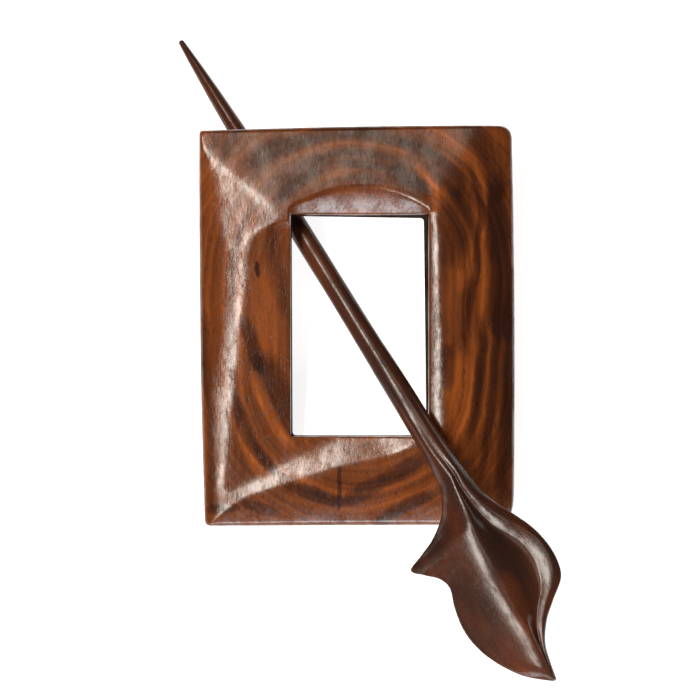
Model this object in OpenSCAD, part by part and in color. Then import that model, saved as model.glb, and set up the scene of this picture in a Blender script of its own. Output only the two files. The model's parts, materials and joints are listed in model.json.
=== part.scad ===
// Carved wooden shawl pin: a rectangular ring frame and a loose stick with a leaf-shaped head.
// The stick runs under the frame's upper left corner, through the window and over the lower right one.
// The pin lies as it would on a table: on the frame's lower back edge and on the point of the stick.
// All sizes are in millimetres.

/* [Frame] */
// Overall width of the frame
frame_w = 61.6; // [56:0.1:70]
// Overall height of the frame
frame_h = 78.2; // [72:0.1:88]
// Width of the left bar
left_bar = 17.95; // [15:0.05:20]
// Width of the right bar
right_bar = 16.85; // [14:0.05:19]
// Width of the top bar
top_bar = 17.4; // [15:0.1:20]
// Width of the bottom bar
bottom_bar = 17.6; // [15:0.1:20]
// Thickness of the frame at its highest crest
crest_h = 8.7; // [7.5:0.1:10.5]
// Radius of the window's corners
window_r = 0.8; // [0.4:0.1:1.6]
// Rounding of the outer front edge
front_round = 0.9; // [0.5:0.1:1.3]
// Rounding of the back edges
back_round = 0.5; // [0.3:0.1:0.8]
// Rounding of the window's front edge
lip_round = 0.35; // [0.2:0.05:0.6]

/* [Carved faces] */
// Height of the left face where it would reach the outer edge
left_edge_h = 4.55; // [4:0.05:5.5]
// Height of the left outer edge at the middle of its bevel
bevel_h = 3.1; // [2.6:0.1:3.8]
// Height of the upper left outer corner
top_edge_h = 3.2; // [2.6:0.1:4]
// Height of the right outer edge
right_edge_h = 3.9; // [3:0.1:5]
// Height of the bottom outer edge at its left end
bottom_edge_h = 3.5; // [3:0.1:4.2]
// Height of the ridge on the bottom bar
ridge_h = 7.1; // [6.4:0.1:7.8]
// Height of the hollow face between the left crest and the window
hollow_h = 6.4; // [5.8:0.1:7]
// Softness of the creases between the carved faces
crease = 0.2; // [0.1:0.05:0.4]
// Softness of the shoulder between the top and right faces
shoulder = 0.8; // [0.4:0.1:1.2]

/* [Stick] */
// Length of the shaft, from its point to the neck of the leaf
shaft_l = 105; // [100:0.5:118]
// Diameter of the shaft where it crosses the window
shaft_d = 4.5; // [3.8:0.1:5.2]
// Radius of the rounded point
point_r = 0.5; // [0.4:0.05:0.7]
// Length of the leaf
leaf_l = 43.8; // [38:0.2:50]
// Width of the leaf, from the tip of its barb to its far edge
leaf_w = 24.4; // [20:0.2:28]
// Thickness of the leaf from its back to the midrib
leaf_t = 5.2; // [4.2:0.1:5.8]
// Thickness of the leaf's edge
leaf_edge = 0.8; // [0.6:0.1:1.3]
// Width of the soft round on the midrib's left side
rib_soft = 3; // [2:0.5:5]
// Widest run of the slope that rises from the leaf's hollow to its rim
rim_soft = 5.2; // [3.6:0.2:7]

/* [Place of the stick] */
// Length of stick from its point to the window's upper left corner
point_reach = 43.8; // [38:0.2:48]
// How far right of the window's lower right corner the stick crosses
cross_shift = 0.35; // [-1:0.05:1]
// Clearance between the stick and the frame where they touch
touch_gap = 0.2; // [0.15:0.05:0.4]

/* [Hidden] */

X = 0;
Y = 1;
Z = 2;

// Edges of the window, with the middle of the frame as the origin
half_w = frame_w / 2;
half_h = frame_h / 2;
win_l = left_bar - half_w;
win_r = half_w - right_bar;
win_t = half_h - top_bar;
win_b = bottom_bar - half_h;
win_w = win_r - win_l;
win_h = win_t - win_b;

// Outer corners, from the upper left one clockwise. The columns are the place across and up as
// shares of half the frame, how far the corner's round reaches along the side before it and the
// side after it as shares of the left bar, and how far the side after it bows out as a share of
// the frame's width.
OUTER = [
    [-1.000, 0.978, 0.040, 0.040, 0.004],
    [0.984, 1.000, 0.155, 0.155, 0.005],
    [1.000, -0.995, 0.420, 0.160, 0.000],
    [-0.966, -1.000, 0.070, 0.070, 0.006]
];
REACH_BEFORE = 2;
REACH_AFTER = 3;
BOW = 4;

// Corners of the window in the same order. The columns are the height of the lip as a share of the
// crest, and how far the back edge lies inside the front edge, across and up, as shares of a bar.
WINDOW = [
    [0.85, 0.006, 0.006],
    [0.93, 0.046, 0.028],
    [0.88, 0.016, 0.006],
    [0.62, 0.016, 0.006]
];
LIP_H = 0;
DRAFT_X = 1;
DRAFT_Y = 2;

// Lip on the top, right, bottom and left side of the window. The columns are its slope at the
// window's edge, and the distance over which the slope eases off, as a share of the top bar.
LIP = [
    [0.66, 1.500],
    [0.38, 0.420],
    [0.30, 0.575],
    [3.00, 0.575]
];
LIP_SLOPE = 0;
LIP_EASE = 1;
// How far the lip is scooped down along the top of the window, as a share of the crest
SCOOP = 0.34;

// Mixing and joining
function mix(a, b, t) = a + (b - a) * t;
function limit(a, low, high) = min(max(a, low), high);
function unit(v) = v / norm(v);
function total(v, i = 0) = i < len(v) ? v[i] + total(v, i + 1) : 0;
function soft_min(v, k) = let (m = min(v)) m - k * ln(total([for (a = v) exp((m - a) / k)]));
function soft_max(v, k) = -soft_min([for (a = v) -a], k);

// The carved faces of the frame. Each gives its height over the back at a place on the frame.
top_climb = 0.38 * crest_h / frame_w;
top_slope = (crest_h - top_edge_h - top_climb * left_bar) / top_bar;
right_lip = 0.11 * right_bar;
function top_face(x, y) = top_edge_h + top_climb * (x + half_w) + top_slope * (half_h - y);
function fall(y) = 0.1 * crest_h * max(0, -y / half_h - 0.25) / 0.55;
function left_face(x, y) = mix(left_edge_h, crest_h, (x + half_w) / left_bar) - fall(y);
function bevel_face(x, y) =
    let (along = (y / frame_h - 0.1) / 0.28)
    bevel_h + 0.55 * (x + half_w) + 0.1 * crest_h * min(1.1, along * along) - 1.4 * fall(y);
function right_face(x) =
    let (out = max(0, (x - win_r - right_lip) / (right_bar - right_lip)))
    mix(crest_h, right_edge_h, 0.25 * out + 0.75 * out * out);
function bottom_face(x, y) =
    let (up = (y + half_h) / (0.63 * bottom_bar))
    mix(bottom_edge_h, ridge_h, up * (1.35 - 0.35 * min(up, 1)))
    - 0.14 * crest_h * (x + half_w) / frame_w;
function ramp_face(x, y) =
    let (along = (x + half_w - 0.23 * left_bar) / win_w, up = (y + half_h) / bottom_bar - 0.24)
    ridge_h * (0.7 + 0.755 * along - 0.14 * along * along - 0.74 * up);
function hollow_face(x, y) =
    let (rise = max(0, (y / win_t - 0.72) / 0.28))
    hollow_h + 0.028 * y + 0.26 * crest_h * rise * rise
    - 0.03 * (x + half_w - left_bar / 2) - fall(y);
function inner_face(x, y) =
    let (past = crest_h * pow(max(0, x / win_r - 0.3), 2))
    soft_max([ramp_face(x, y), hollow_face(x, y) + 0.8 * past], 1.5 * crease) + 0.45 * past;
function lip_climb(side, d) =
    let (out = max(0, d))
    LIP[side][LIP_SLOPE] * out / (1 + out / (LIP[side][LIP_EASE] * top_bar));
function lip_face(x, y) =
    let (
        across = limit((x - win_l) / win_w, 0, 1),
        up = limit((y - win_b) / win_h, 0, 1),
        upper = mix(WINDOW[0][LIP_H], WINDOW[1][LIP_H], across),
        lower = mix(WINDOW[3][LIP_H], WINDOW[2][LIP_H], across),
        scoop = SCOOP * up * pow(sin(180 * across), 0.7),
        climb = norm([
            lip_climb(0, y - win_t),
            lip_climb(1, x - win_r),
            lip_climb(2, win_b - y),
            lip_climb(3, win_l - x)
        ])
    )
    crest_h * (mix(lower, upper, up) - scoop) + climb;
function relief(p) =
    let (x = p[X], y = p[Y])
    soft_min([
        soft_min([top_face(x, y), right_face(x)], shoulder),
        left_face(x, y), bevel_face(x, y), bottom_face(x, y), inner_face(x, y), lip_face(x, y)
    ], crease);

// Stations round the frame, clockwise from the upper left corner. Each is the outer point, the
// window's front point and the window's back point.
CORNER_STEPS = 4;
SIDE_STEPS = [18, 26, 18, 26];
function after(i) = (i + 1) % 4;
function before(i) = (i + 3) % 4;
function outer_at(i) = [OUTER[i][X] * half_w, OUTER[i][Y] * half_h];
function front_at(i) = [i == 0 || i == 3 ? win_l : win_r, i < 2 ? win_t : win_b];
function draft_at(i) = [
    (i == 0 || i == 3 ? 1 : -1) * WINDOW[i][DRAFT_X] * right_bar,
    (i < 2 ? -1 : 1) * WINDOW[i][DRAFT_Y] * top_bar
];
function bend(a, p, b, t) = (1 - t) * (1 - t) * a + 2 * t * (1 - t) * p + t * t * b;
function arc(p, from, to, reach, t) =
    bend(p + reach[0] * unit(from - p), p, p + reach[1] * unit(to - p), t);
function outer_reach(i) = [OUTER[i][REACH_BEFORE], OUTER[i][REACH_AFTER]] * left_bar;
function outer_arc(i, t) =
    arc(outer_at(i), outer_at(before(i)), outer_at(after(i)), outer_reach(i), t);
function front_arc(i, t) =
    arc(front_at(i), front_at(before(i)), front_at(after(i)), [window_r, window_r], t);
function outer_side(i, t) =
    let (a = outer_arc(i, 1), b = outer_arc(after(i), 0), along = unit(b - a))
    mix(a, b, t) + [-along[Y], along[X]] * OUTER[i][BOW] * frame_w * sin(180 * t);
function front_side(i, t) = mix(front_arc(i, 1), front_arc(after(i), 0), t);
function station(outer, front, draft) = [outer, front, front + draft];
STATIONS = [
    for (i = [0:3]) each concat(
        [for (k = [0:CORNER_STEPS]) let (t = k / CORNER_STEPS)
            station(outer_arc(i, t), front_arc(i, t), draft_at(i))],
        [for (k = [1:SIDE_STEPS[i] - 1]) let (t = k / SIDE_STEPS[i])
            station(outer_side(i, t), front_side(i, t), mix(draft_at(i), draft_at(after(i)), t))]
    )
];

// One section of the frame, from the window's back edge over the front to the outer back edge.
// The steps of an edge's rounding are shares of its radius, inward and down.
ROUND = [[1, 0], [0.29, 0.29], [0, 1]];
FRONT_STEPS = 11;
function raised(p, h) = [p[X], p[Y], h];
function frame_section(place) =
    let (
        outer = place[0],
        front = place[1],
        back = place[2],
        out = unit(outer - front),
        inner_end = front + lip_round * out,
        outer_end = outer - front_round * out
    )
    concat(
        [for (r = ROUND) raised(back + back_round * r[0] * out, back_round * r[1])],
        [for (k = [2:-1:0]) let (r = ROUND[k], p = front + lip_round * r[0] * out)
            raised(p, relief(p) - lip_round * r[1])],
        [for (k = [1:FRONT_STEPS - 1]) let (p = mix(inner_end, outer_end, k / FRONT_STEPS))
            raised(p, relief(p))],
        [for (r = ROUND) let (p = outer - front_round * r[0] * out)
            raised(p, relief(p) - front_round * r[1])],
        [for (k = [2:-1:0]) let (r = ROUND[k])
            raised(outer - back_round * r[0] * out, back_round * r[1])]
    );
FRAME_RINGS = [for (place = STATIONS) frame_section(place)];

// Sections of the round shaft. The columns are the place along as a share of the shaft's length,
// the width and the sideways drift as shares of its diameter, and how far it is carved, 0 to 1.
SHAFT = [
    [0.000, 0.24, -0.016, 0],
    [0.043, 0.38, -0.018, 0],
    [0.083, 0.49, -0.016, 0],
    [0.162, 0.67, -0.024, 0],
    [0.290, 0.85, -0.020, 0],
    [0.420, 0.94, -0.020, 0],
    [0.600, 0.97, -0.050, 0],
    [0.700, 1.01, -0.080, 0],
    [0.790, 1.09, -0.090, 0.3],
    [0.930, 1.15, -0.130, 0.8]
];

// Sections of the leaf. The columns are the place along as a share of the leaf's length, then the
// left edge, right edge, midrib and rim as shares of its width, and as shares of its thickness how
// far the left edge is turned up, and the heights of the midrib, the hollow beside it, the rim and
// the back from the stick's middle.
LEAF = [
    [0.00, -0.145, 0.092, -0.030, 0.028, 0.000, 0.442, 0.394, 0.433, 0.426],
    [0.06, -0.183, 0.097, -0.045, 0.026, 0.000, 0.471, 0.363, 0.402, 0.394],
    [0.11, -0.235, 0.104, -0.056, 0.034, 0.000, 0.508, 0.316, 0.363, 0.363],
    [0.15, -0.300, 0.121, -0.066, 0.048, 0.000, 0.544, 0.276, 0.331, 0.347],
    [0.20, -0.430, 0.152, -0.080, 0.070, 0.000, 0.600, 0.240, 0.296, 0.339],
    [0.23, -0.560, 0.175, -0.090, 0.086, 0.000, 0.638, 0.217, 0.279, 0.331],
    [0.26, -0.690, 0.201, -0.101, 0.107, 0.000, 0.667, 0.202, 0.264, 0.331],
    [0.31, -0.622, 0.242, -0.120, 0.152, 0.073, 0.686, 0.188, 0.247, 0.323],
    [0.36, -0.538, 0.280, -0.132, 0.210, 0.183, 0.692, 0.173, 0.229, 0.316],
    [0.42, -0.505, 0.312, -0.146, 0.265, 0.213, 0.694, 0.157, 0.213, 0.316],
    [0.50, -0.551, 0.329, -0.160, 0.288, 0.143, 0.687, 0.150, 0.205, 0.307],
    [0.58, -0.582, 0.316, -0.168, 0.256, 0.063, 0.678, 0.157, 0.213, 0.300],
    [0.64, -0.586, 0.268, -0.170, 0.190, 0.023, 0.669, 0.166, 0.213, 0.292],
    [0.70, -0.570, 0.130, -0.163, 0.070, 0.000, 0.652, 0.173, 0.209, 0.276],
    [0.76, -0.538, 0.003, -0.158, -0.030, 0.000, 0.625, 0.181, 0.207, 0.253],
    [0.84, -0.468, -0.100, -0.166, -0.115, 0.000, 0.557, 0.189, 0.213, 0.220],
    [0.92, -0.365, -0.145, -0.178, -0.158, 0.000, 0.426, 0.197, 0.205, 0.189],
    [1.00, -0.203, -0.176, -0.192, -0.184, 0.000, 0.173, 0.142, 0.150, 0.119]
];

// A section in millimetres: along, left, right, midrib, rim, left edge height, midrib height,
// hollow height, rim height, back depth, and how far it is carved
ALONG = 0;
LEFT = 1;
RIGHT = 2;
RIB = 3;
RIM = 4;
LEFT_H = 5;
RIB_H = 6;
HOLLOW_H = 7;
RIM_H = 8;
BACK = 9;
CARVED = 10;
function shaft_row(row) =
    let (r = row[1] * shaft_d / 2, drift = row[2] * shaft_d, ridge = (0.95 + 0.03 * row[3]) * r)
    [
        row[0] * shaft_l, drift - r, drift + r, drift - 0.31 * r, drift + 0.31 * r,
        leaf_edge / 2, ridge, (1 - 0.06 * row[3]) * r, ridge, r, row[3]
    ];
function leaf_row(row) = concat(
    shaft_l + row[0] * leaf_l,
    [for (k = [1:4]) row[k] * leaf_w],
    [leaf_edge / 2 + row[LEFT_H] * leaf_t],
    [for (k = [6:9]) row[k] * leaf_t],
    1
);
ROWS = concat([for (row = SHAFT) shaft_row(row)], [for (row = LEAF) leaf_row(row)]);
LAST = len(ROWS) - 1;
stick_l = shaft_l + leaf_l;

// A smooth curve through the rows gives the section anywhere along the stick
function slope_at(i) =
    let (a = ROWS[max(i - 1, 0)], b = ROWS[min(i + 1, LAST)])
    (b - a) / (b[ALONG] - a[ALONG]);
function row_before(s) = limit(total([for (row = ROWS) row[ALONG] <= s ? 1 : 0]) - 1, 0, LAST - 1);
function section_at(s) =
    let (
        i = row_before(s),
        a = ROWS[i],
        b = ROWS[i + 1],
        gap = b[ALONG] - a[ALONG],
        t = (s - a[ALONG]) / gap,
        t2 = t * t,
        t3 = t2 * t
    )
    (2 * t3 - 3 * t2 + 1) * a + (3 * t2 - 2 * t3) * b
    + (t3 - 2 * t2 + t) * gap * slope_at(i) + (t3 - t2) * gap * slope_at(i + 1);

// Depth of the back and height of the front at a share from the middle, -1 to 1
function middle(c) = (c[LEFT] + c[RIGHT]) / 2;
function half(c) = (c[RIGHT] - c[LEFT]) / 2;
function bulge(w) = sqrt(max(0, 1 - w * w));
function back_depth(c, w) =
    mix(c[BACK] * bulge(w), mix(leaf_edge / 2, c[BACK], pow(bulge(w), 1.2)), c[CARVED]);
function front_height(c, w) = max(c[RIB_H], c[RIM_H], c[HOLLOW_H]) * bulge(w);

// Steps across a section: the wing, both slopes of the hollow, the outer bevel and the back
WING_STEPS = 6;
HOLLOW_STEPS = 4;
BEVEL_STEPS = 3;
BACK_STEPS = 7;
EDGE_TURN = 6;
// Run of the slope inside the rim, where midrib and rim are that far apart
function rim_run(gap) = 0.6 * gap * rim_soft / (0.6 * gap + rim_soft);
// Share of the wing's fall that is reached at a distance d from the midrib, on a wing of width w
function wing_fall(d, w) = (norm([d, rib_soft]) - rib_soft) / (norm([w, rib_soft]) - rib_soft);
function round_point(c, turn) =
    [middle(c) + half(c) * cos(turn), (sin(turn) > 0 ? c[HOLLOW_H] : c[BACK]) * sin(turn)];
function blended(c, turn, carved_point) = mix(round_point(c, turn), carved_point, c[CARVED]);
function stick_section(s) =
    let (
        c = section_at(s),
        edge = leaf_edge / 2,
        wing = c[RIB] - c[LEFT],
        dip = c[RIM] - rim_run(c[RIM] - c[RIB])
    )
    concat(
        [for (k = [0:WING_STEPS - 1]) let (u = k / WING_STEPS)
            blended(c, mix(180 - EDGE_TURN, 108, u),
                [mix(c[LEFT], c[RIB], u), mix(c[RIB_H], c[LEFT_H], wing_fall((1 - u) * wing, wing))])],
        [for (k = [0:HOLLOW_STEPS - 1]) let (u = k / HOLLOW_STEPS)
            blended(c, mix(108, 90, u),
                [mix(c[RIB], dip, u), mix(c[HOLLOW_H], c[RIB_H], (1 + cos(180 * u)) / 2)])],
        [for (k = [0:HOLLOW_STEPS - 1]) let (u = k / HOLLOW_STEPS)
            blended(c, mix(90, 72, u),
                [mix(dip, c[RIM], u), mix(c[HOLLOW_H], c[RIM_H], sin(90 * u))])],
        [for (k = [0:BEVEL_STEPS]) let (u = k / BEVEL_STEPS)
            blended(c, mix(72, EDGE_TURN, u),
                [mix(c[RIM], c[RIGHT], u), mix(c[RIM_H], edge, pow(u, 1.7))])],
        [for (k = [0:BACK_STEPS])
            let (turn = mix(EDGE_TURN, 180 - EDGE_TURN, k / BACK_STEPS), w = cos(turn))
            [middle(c) + half(c) * w, -back_depth(c, w)]]
    );

// Rings along the stick: the rounded point, the shaft, and the leaf with closer rings
POINT_TURNS = [20, 45, 70];
SHAFT_STEPS = 34;
LEAF_STEPS = 48;
function stick_ring(s, scale) =
    let (c = section_at(s))
    [for (p = stick_section(s)) [s, middle(c) + scale * (p[X] - middle(c)), scale * p[Y]]];
STICK_RINGS = concat(
    [for (turn = POINT_TURNS) stick_ring(point_r * (1 - cos(turn)), sin(turn))],
    [for (k = [0:SHAFT_STEPS - 1]) stick_ring(mix(point_r, shaft_l, k / SHAFT_STEPS), 1)],
    [for (k = [0:LEAF_STEPS]) stick_ring(shaft_l + leaf_l * k / LEAF_STEPS, 1)]
);

// Direction of the stick over the frame, and the sideways direction to its upper right
course = unit([win_r + cross_shift - win_l, win_b - win_t]);
sideways = [-course[Y], course[X]];
function on_frame(p) =
    abs(p[X]) < half_w && abs(p[Y]) < half_h
    && !(p[X] > win_l && p[X] < win_r && p[Y] > win_b && p[Y] < win_t);
function over(s, t, h, climb) =
    [win_l, win_t] + ((s - point_reach) * cos(climb) - h * sin(climb)) * course + t * sideways;

// The stick's middle passes the window's upper left corner this high, to clear the frame's back
ACROSS = [-0.95, -0.8, -0.5, -0.2, 0, 0.2, 0.5, 0.8, 0.95];
SEEK_STEP = 1;
function seat_height(climb) = min([
    for (s = [SEEK_STEP:SEEK_STEP:point_reach + 2 * shaft_d])
        let (c = section_at(s))
        for (w = ACROSS)
            let (h = front_height(c, w))
            if (on_frame(over(s, middle(c) + half(c) * w, h, climb)))
                -touch_gap - h * cos(climb) - (s - point_reach) * sin(climb)
]);
// The stick climbs at the least angle that clears the front of the frame beyond the window
function climb_for(seat, climb) = asin(max([
    for (s = [point_reach + 2 * shaft_d:SEEK_STEP:stick_l])
        let (c = section_at(s))
        for (w = ACROSS)
            let (d = back_depth(c, w), p = over(s, middle(c) + half(c) * w, -d, climb))
            if (on_frame(p)) (relief(p) + touch_gap + d * cos(climb) - seat) / (s - point_reach)
]));
function settled(climb, rounds) =
    rounds == 0 ? climb : settled(climb_for(seat_height(climb), climb), rounds - 1);
climb = settled(12, 4);
seat = seat_height(climb);

// The stick in the frame's own place
axis = [course[X] * cos(climb), course[Y] * cos(climb), sin(climb)];
side = [sideways[X], sideways[Y], 0];
up = cross(axis, side);
function in_frame(p) = [win_l, win_t, seat] + (p[X] - point_reach) * axis + p[Y] * side + p[Z] * up;

// The table touches the rounding of the frame's lower back edge and the ball of the point
point_middle = in_frame([point_r, middle(section_at(point_r)), 0]);
foot_middle = [0, back_round - half_h, back_round];
run = point_middle - foot_middle;
lean = asin((point_r - back_round) / norm([run[Y], run[Z]])) - atan2(run[Z], run[Y]);
function leaning(p) =
    [p[X], p[Y] * cos(lean) - p[Z] * sin(lean), p[Y] * sin(lean) + p[Z] * cos(lean)];

// The origin is under the middle of the whole pin
frame_points = [for (ring = FRAME_RINGS) for (p = ring) leaning(p)];
stick_points = [for (ring = STICK_RINGS) for (p = ring) leaning(in_frame(p))];
function lowest(c) = min([for (p = concat(frame_points, stick_points)) p[c]]);
function highest(c) = max([for (p = concat(frame_points, stick_points)) p[c]]);
origin = [(lowest(X) + highest(X)) / 2, (lowest(Y) + highest(Y)) / 2, lowest(Z)];

// Skin over rings of points, closed round as a ring or capped at both ends
function skin(rings, n, closed) = [
    for (r = [0:rings - (closed ? 1 : 2)])
        for (k = [0:n - 1])
            let (
                a = r * n + k,
                b = r * n + (k + 1) % n,
                c = ((r + 1) % rings) * n + (k + 1) % n,
                d = ((r + 1) % rings) * n + k
            )
            each [[a, b, c], [a, c, d]]
];
function cap(first, n, flip) = [
    for (k = [1:n - 2]) flip ? [first, first + k + 1, first + k] : [first, first + k, first + k + 1]
];

module frame() {
    n = len(FRAME_RINGS[0]);
    color([0.45, 0.21, 0.10])
        translate(-origin)
            polyhedron(points = frame_points, faces = skin(len(FRAME_RINGS), n, true));
}

module stick() {
    n = len(STICK_RINGS[0]);
    last = len(STICK_RINGS) - 1;
    color([0.30, 0.16, 0.11])
        translate(-origin)
            polyhedron(
                points = stick_points,
                faces = concat(
                    skin(len(STICK_RINGS), n, false),
                    cap(0, n, true),
                    cap(last * n, n, false)
                )
            );
}

frame();
stick();
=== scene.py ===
"""Dresses a carved rosewood shawl pin: a rectangular ring frame and a loose stick with a leaf-shaped head.

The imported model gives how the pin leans, where it lies and which way the stick runs. Both pieces are
carved here from the same sizes as their solids, with finer faces, and finished as waxed rosewood.
"""

import json
import logging
import math
from dataclasses import astuple, dataclass, field
from enum import Enum
from typing import Any, Sequence, Union

import bpy
import numpy as np
from mathutils import Matrix, Vector


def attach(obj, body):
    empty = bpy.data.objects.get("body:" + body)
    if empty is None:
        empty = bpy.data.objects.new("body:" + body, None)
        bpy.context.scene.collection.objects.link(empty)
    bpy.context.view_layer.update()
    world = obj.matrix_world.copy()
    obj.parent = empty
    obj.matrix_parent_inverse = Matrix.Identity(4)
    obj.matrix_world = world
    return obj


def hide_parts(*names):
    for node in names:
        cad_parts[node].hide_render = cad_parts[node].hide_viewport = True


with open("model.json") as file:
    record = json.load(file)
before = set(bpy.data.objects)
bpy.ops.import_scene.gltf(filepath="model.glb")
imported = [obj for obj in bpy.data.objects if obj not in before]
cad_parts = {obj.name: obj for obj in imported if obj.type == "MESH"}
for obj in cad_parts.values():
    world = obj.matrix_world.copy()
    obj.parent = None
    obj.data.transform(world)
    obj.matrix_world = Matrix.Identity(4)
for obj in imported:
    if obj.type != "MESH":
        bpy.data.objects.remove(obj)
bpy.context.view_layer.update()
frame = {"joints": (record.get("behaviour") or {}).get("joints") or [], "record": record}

LOG = logging.getLogger("shawl_pin")
MM = 0.001

Array = np.ndarray
Measure = Union[float, Array]
Colour = tuple[float, float, float]
Pair = tuple[float, float]
Four = tuple[float, float, float, float]


# Numbers


def mix(a: Any, b: Any, t: Any) -> Any:
    """Returns the value a share t of the way from a to b."""
    return a + (b - a) * t


def unit(v: Array) -> Array:
    """Returns the vectors in the last axis of v, each made one long."""
    return v / np.linalg.norm(v, axis=-1, keepdims=True)


def soft_min(heights: Sequence[Array], softness: float) -> Array:
    """Joins surfaces by their lowest, with a small round along each crease.

    Args:
        heights: The height of each surface at the same places.
        softness: How soft the creases are, in metres.

    Returns:
        The height of the joined surface.
    """
    stack = np.stack(np.broadcast_arrays(*heights))
    low = stack.min(axis=0)
    return low - softness * np.log(np.exp((low - stack) / softness).sum(axis=0))


def soft_max(heights: Sequence[Array], softness: float) -> Array:
    """Joins surfaces by their highest, as soft_min does by their lowest."""
    return -soft_min([-h for h in heights], softness)


def wander(x: Array, y: Array, phase: float) -> Array:
    """Gives the slow rise and fall that a hand leaves in a carved face.

    Args:
        x: Places across, in metres.
        y: Places up, in metres.
        phase: Sets one face's waves apart from another's.

    Returns:
        A height between about -1 and 1 at each place.
    """
    waves = ((0.61, 0.17, 0.5), (-0.23, 0.43, 0.3), (1.27, 0.71, 0.12), (0.37, -1.13, 0.12))
    return sum(
        share * np.sin((a * x + b * y) / MM + phase * (k + 1.7)) for k, (a, b, share) in enumerate(waves)
    )


def shares(steps: int) -> list[float]:
    """Returns that many even shares of the way, from 0 on and short of 1."""
    return [k / steps for k in range(steps)]


def between(a: Array, b: Array, places: Sequence[float]) -> list[Array]:
    """Returns the rows that lie at those shares of the way from row a to row b."""
    return [mix(a, b, t) for t in places]


def skin(name: str, rings: Array, lying: Matrix, closed: bool) -> bpy.types.Object:
    """Skins rings of points into one closed mesh.

    Args:
        name: The piece's name.
        rings: Points in the piece's own directions, as rings, points of a ring and coordinates.
        lying: Turns the piece's own directions into the model's.
        closed: True if the last ring joins the first, False if both ends are capped.

    Returns:
        The new object, smooth shaded, in the scene.
    """
    count, size = rings.shape[:2]
    r, k = np.meshgrid(np.arange(count if closed else count - 1), np.arange(size), indexing="ij")
    after_r, after_k = (r + 1) % count, (k + 1) % size
    faces = np.stack(
        [r * size + k, r * size + after_k, after_r * size + after_k, after_r * size + k], axis=-1
    ).reshape(-1, 4).tolist()
    if not closed:
        faces.append(list(range(size - 1, -1, -1)))
        faces.append(list(range((count - 1) * size, count * size)))
    mesh = bpy.data.meshes.new(name)
    mesh.from_pydata(rings.reshape(-1, 3).tolist(), [], faces)
    mesh.transform(lying)
    mesh.validate()
    mesh.shade_smooth()
    made = bpy.data.objects.new(name, mesh)
    bpy.context.scene.collection.objects.link(made)
    return made


# Shader nodes


class Signal:
    """One socket of a material's nodes, in the form that sums and products are written with."""

    def __init__(self, recipe: "Recipe", socket: bpy.types.NodeSocket) -> None:
        """Wraps a socket of the recipe's nodes."""
        self.recipe = recipe
        self.socket = socket

    def __add__(self, other: "Value") -> "Signal":
        """Returns the sum."""
        return self.recipe.math("ADD", self, other)

    __radd__ = __add__

    def __sub__(self, other: "Value") -> "Signal":
        """Returns the difference."""
        return self.recipe.math("SUBTRACT", self, other)

    def __rsub__(self, other: "Value") -> "Signal":
        """Returns the difference, with this signal taken away."""
        return self.recipe.math("SUBTRACT", other, self)

    def __mul__(self, other: "Value") -> "Signal":
        """Returns the product."""
        return self.recipe.math("MULTIPLY", self, other)

    __rmul__ = __mul__


Value = Union[Signal, float, Sequence[float]]
Keyed = dict[str, Any]
Inputs = dict[Union[str, int], Value]


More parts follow.
